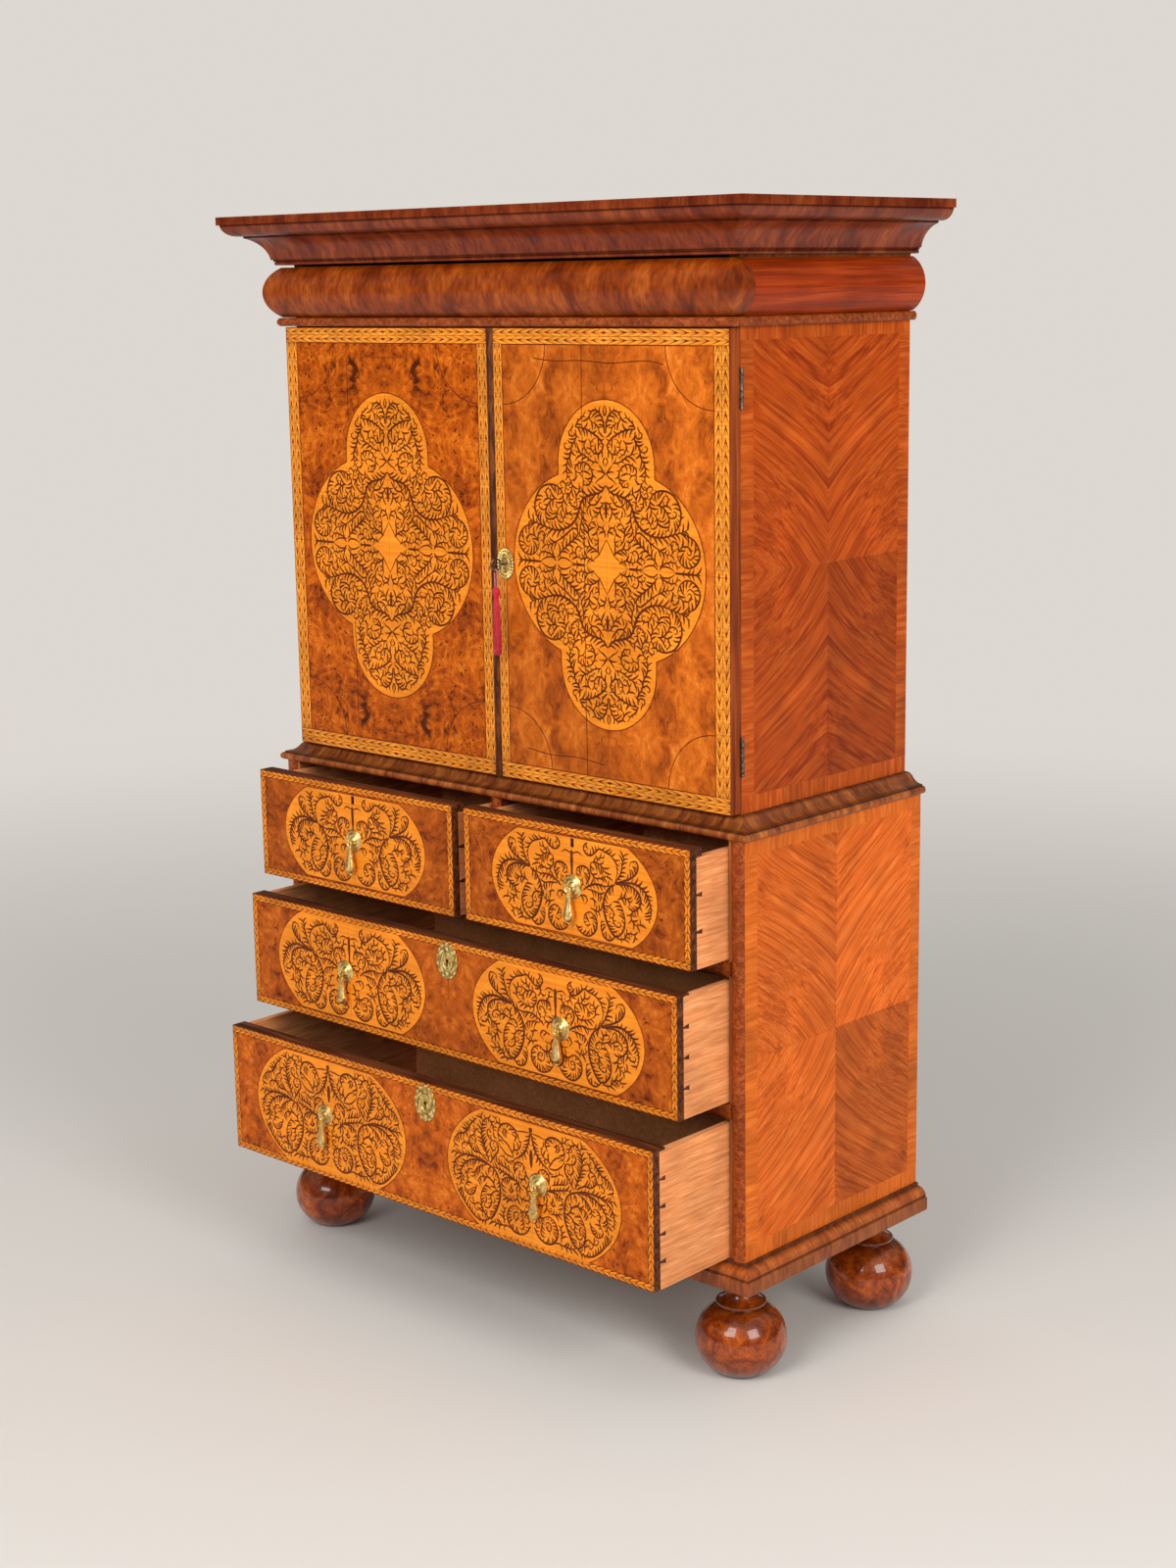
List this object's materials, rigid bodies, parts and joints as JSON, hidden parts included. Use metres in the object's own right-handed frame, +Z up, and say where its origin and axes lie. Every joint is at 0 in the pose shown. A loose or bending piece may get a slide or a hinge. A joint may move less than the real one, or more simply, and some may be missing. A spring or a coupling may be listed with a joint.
{
  "type": "cabinet on chest",
  "caption": "Cabinet on a chest of drawers with marquetry doors, bun feet, a cushion frieze drawer, moulded cornice, brass drop handles and a keyed door lock.",
  "frame": {"origin": "on the floor, in the middle of the length and width with the drawers standing open", "axes": "+Z up, front faces -Y, +X to the right of someone who faces it"},
  "size_m": [1.155, 0.6571, 1.8225],
  "materials": {
    "walnut_side": "waxed quartered walnut veneer",
    "crossgrain_walnut": "polished cross-grain walnut",
    "burr_walnut": "waxed burr walnut veneer with marquetry",
    "marquetry_front": "waxed walnut and boxwood marquetry",
    "turned_walnut": "polished turned walnut",
    "drawer_oak": "dry oak",
    "carcase_pine": "stained pine",
    "brass": "cast and lacquered",
    "iron": "worn and polished",
    "silk": "silk thread"
  },
  "bodies": {
    "carcase": {"base_moulding": "crossgrain_walnut", "bun_feet": "turned_walnut", "cabinet_back_boards": "carcase_pine", "cabinet_bottom": "carcase_pine", "cabinet_hinges": "iron", "cabinet_side_left": "walnut_side", "cabinet_side_right": "walnut_side", "cabinet_top": "carcase_pine", "chest_back_boards": "carcase_pine", "chest_bottom": "carcase_pine", "chest_front_beads": "crossgrain_walnut", "chest_side_left": "walnut_side", "chest_side_right": "walnut_side", "chest_top": "carcase_pine", "cornice_moulding": "crossgrain_walnut", "cornice_top": "carcase_pine", "drawer_rails": "carcase_pine", "dustboards": "carcase_pine", "frieze_bead": "crossgrain_walnut", "frieze_board": "carcase_pine", "frieze_cushions": "crossgrain_walnut", "shelves": "carcase_pine", "short_drawer_divider": "carcase_pine", "waist_moulding": "crossgrain_walnut"},
    "frieze_drawer": {"frieze_drawer_bottom": "drawer_oak", "frieze_drawer_box": "drawer_oak", "frieze_drawer_front": "crossgrain_walnut"},
    "short_left_drawer": {"short_left_brasses": "brass", "short_left_drawer_bottom": "drawer_oak", "short_left_drawer_box": "drawer_oak", "short_left_drawer_front": "marquetry_front"},
    "short_right_drawer": {"short_right_brasses": "brass", "short_right_drawer_bottom": "drawer_oak", "short_right_drawer_box": "drawer_oak", "short_right_drawer_front": "marquetry_front"},
    "long_upper_drawer": {"long_upper_brasses": "brass", "long_upper_drawer_bottom": "drawer_oak", "long_upper_drawer_box": "drawer_oak", "long_upper_drawer_front": "marquetry_front"},
    "long_lower_drawer": {"long_lower_brasses": "brass", "long_lower_drawer_bottom": "drawer_oak", "long_lower_drawer_box": "drawer_oak", "long_lower_drawer_front": "marquetry_front"},
    "drop_short_left": {"drop_short_left": "brass"},
    "drop_short_right": {"drop_short_right": "brass"},
    "drop_long_upper_left": {"drop_long_upper_left": "brass"},
    "drop_long_upper_right": {"drop_long_upper_right": "brass"},
    "drop_long_lower_left": {"drop_long_lower_left": "brass"},
    "drop_long_lower_right": {"drop_long_lower_right": "brass"},
    "left_door": {"left_door_leaf": "burr_walnut", "left_door_hinge_leaves": "iron"},
    "right_door": {"right_door_leaf": "burr_walnut", "right_door_hinge_leaves": "iron", "right_door_astragal": "crossgrain_walnut", "door_lock_case": "iron", "door_escutcheon": "brass"},
    "lock_bolt": {"lock_bolt": "iron"},
    "key": {"key": "iron"},
    "tassel": {"tassel": "silk", "tassel_cord": "silk"}
  },
  "joints": [
    {"name": "frieze_slide", "type": "slide", "parent": "carcase", "child": "frieze_drawer", "axis": [0, -1, 0], "range_m": [0, 0.3]},
    {"name": "short_left_slide", "type": "slide", "parent": "carcase", "child": "short_left_drawer", "axis": [0, -1, 0], "range_m": [-0.0915, 0.2085]},
    {"name": "short_right_slide", "type": "slide", "parent": "carcase", "child": "short_right_drawer", "axis": [0, -1, 0], "range_m": [-0.089, 0.211]},
    {"name": "long_upper_slide", "type": "slide", "parent": "carcase", "child": "long_upper_drawer", "axis": [0, -1, 0], "range_m": [-0.1215, 0.1785]},
    {"name": "long_lower_slide", "type": "slide", "parent": "carcase", "child": "long_lower_drawer", "axis": [0, -1, 0], "range_m": [-0.1795, 0.1205]},
    {"name": "drop_short_left_swing", "type": "hinge", "parent": "short_left_drawer", "child": "drop_short_left", "pos_m": [-0.25275, -0.2313, 0.78225], "axis": [-1, 0, 0], "range_deg": [0, 85]},
    {"name": "drop_short_right_swing", "type": "hinge", "parent": "short_right_drawer", "child": "drop_short_right", "pos_m": [0.25275, -0.2288, 0.78225], "axis": [-1, 0, 0], "range_deg": [0, 85]},
    {"name": "drop_long_upper_left_swing", "type": "hinge", "parent": "long_upper_drawer", "child": "drop_long_upper_left", "pos_m": [-0.252, -0.2613, 0.55875], "axis": [-1, 0, 0], "range_deg": [0, 85]},
    {"name": "drop_long_upper_right_swing", "type": "hinge", "parent": "long_upper_drawer", "child": "drop_long_upper_right", "pos_m": [0.252, -0.2613, 0.55875], "axis": [-1, 0, 0], "range_deg": [0, 85]},
    {"name": "drop_long_lower_left_swing", "type": "hinge", "parent": "long_lower_drawer", "child": "drop_long_lower_left", "pos_m": [-0.252, -0.3193, 0.31625], "axis": [-1, 0, 0], "range_deg": [0, 85]},
    {"name": "drop_long_lower_right_swing", "type": "hinge", "parent": "long_lower_drawer", "child": "drop_long_lower_right", "pos_m": [0.252, -0.3193, 0.31625], "axis": [-1, 0, 0], "range_deg": [0, 85]},
    {"name": "left_door_swing", "type": "hinge", "parent": "carcase", "child": "left_door", "pos_m": [-0.4959, -0.0979, 1.27375], "axis": [0, 0, -1], "range_deg": [0, 180]},
    {"name": "right_door_swing", "type": "hinge", "parent": "carcase", "child": "right_door", "pos_m": [0.4959, -0.0979, 1.27375], "axis": [0, 0, 1], "range_deg": [0, 180]},
    {"name": "key_turn", "type": "hinge", "parent": "right_door", "child": "key", "pos_m": [0.027, -0.1458, 1.263], "axis": [0, 1, 0], "range_deg": [0, 90]},
    {"name": "bolt_slide", "type": "slide", "parent": "right_door", "child": "lock_bolt", "axis": [-1, 0, 0], "range_m": [0, 0.01]},
    {"name": "tassel_hang", "type": "hinge", "parent": "key", "child": "tassel", "pos_m": [0.027, -0.1458, 1.2525], "axis": [0, 1, 0], "range_deg": [-90.01, 0]}
  ],
  "couplings": [
    {"joint": "bolt_slide", "follows": "key_turn", "m_per_rad": 0.006366},
    {"joint": "tassel_hang", "follows": "key_turn", "ratio": -1}
  ]
}
